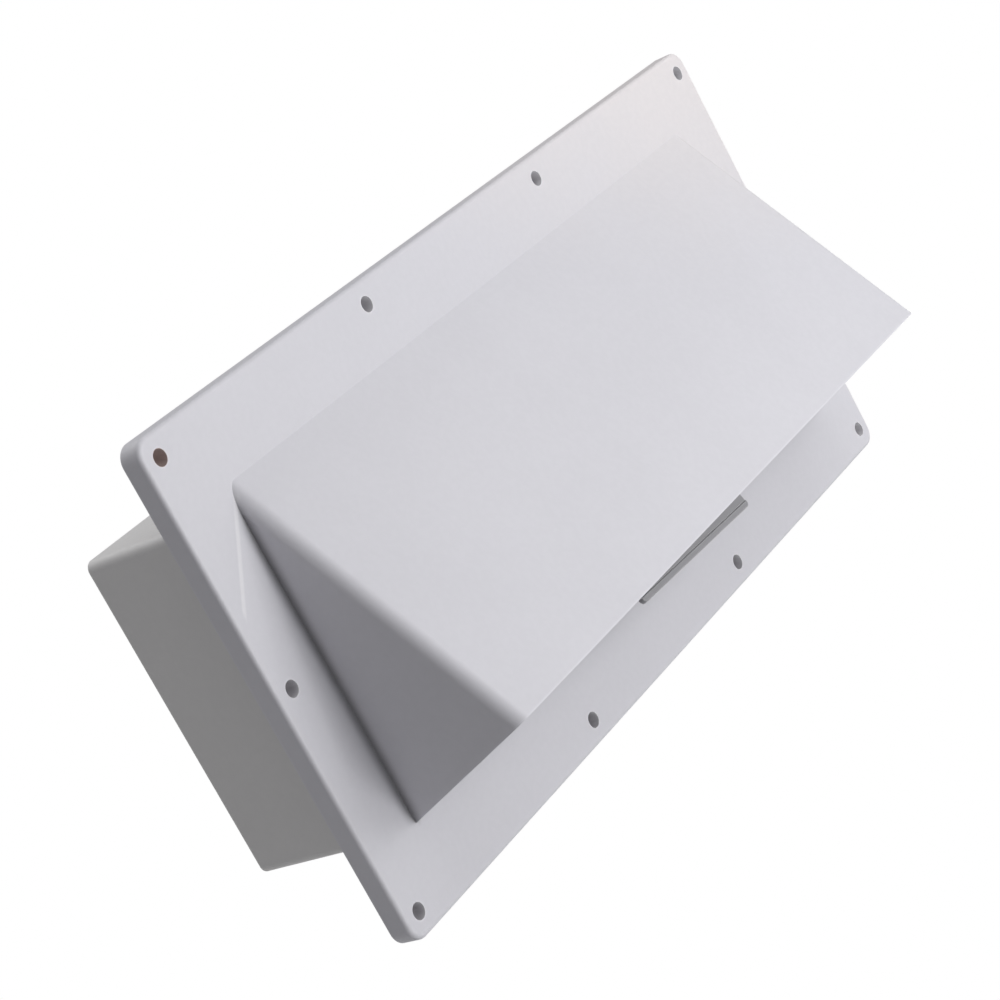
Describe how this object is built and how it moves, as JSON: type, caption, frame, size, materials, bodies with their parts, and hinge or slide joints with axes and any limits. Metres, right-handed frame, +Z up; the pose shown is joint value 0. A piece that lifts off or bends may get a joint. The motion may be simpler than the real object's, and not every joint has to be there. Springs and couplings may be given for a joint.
{
  "type": "side wall exhaust vent cover",
  "caption": "Rectangular screw-on wall flange with a wedge-shaped rain hood open underneath, a hinged damper flap with turn-button travel locks, and a rectangular duct collar behind.",
  "frame": {"origin": "centre of the flange, in the plane of the skirt's back edge that meets the wall", "axes": "+Z up the wall, +X to the right facing the cover, +Y into the wall"},
  "size_m": [0.336, 0.1162, 0.162],
  "materials": {
    "cover_plastic": "satin off-white moulded ABS",
    "collar_plastic": "satin off-white moulded ABS",
    "flap_plastic": "satin off-white moulded ABS",
    "button_plastic": "satin off-white moulded ABS",
    "foam": "dull closed-cell foam",
    "seal_foam": "dull closed-cell foam",
    "screw_steel": "bright zinc plated",
    "cap_steel": "spring steel",
    "rod_steel": "drawn stainless wire"
  },
  "bodies": {
    "cover": {"hood_cover": "cover_plastic", "duct_collar": "collar_plastic", "wall_gasket": "foam", "flap_seal": "seal_foam", "collar_screws": "screw_steel", "lock_washer_left": "screw_steel", "lock_washer_right": "screw_steel", "lock_screw_left": "screw_steel", "lock_screw_right": "screw_steel"},
    "flap": {"damper_flap": "flap_plastic", "hinge_rod": "rod_steel", "rod_retainers": "cap_steel"},
    "button_left": {"lock_button_left": "button_plastic"},
    "button_right": {"lock_button_right": "button_plastic"}
  },
  "joints": [
    {"name": "flap_swing", "type": "hinge", "parent": "cover", "child": "flap", "pos_m": [0, -0.0066, 0.0414], "axis": [-1, 0, 0], "range_deg": [-15, 16]},
    {"name": "button_left_turn", "type": "hinge", "parent": "cover", "child": "button_left", "pos_m": [-0.1359, -0.0097, -0.038], "axis": [0, -1, 0], "range_deg": [0, 90]},
    {"name": "button_right_turn", "type": "hinge", "parent": "cover", "child": "button_right", "pos_m": [0.1359, -0.0097, -0.038], "axis": [0, 1, 0], "range_deg": [0, 90]}
  ]
}
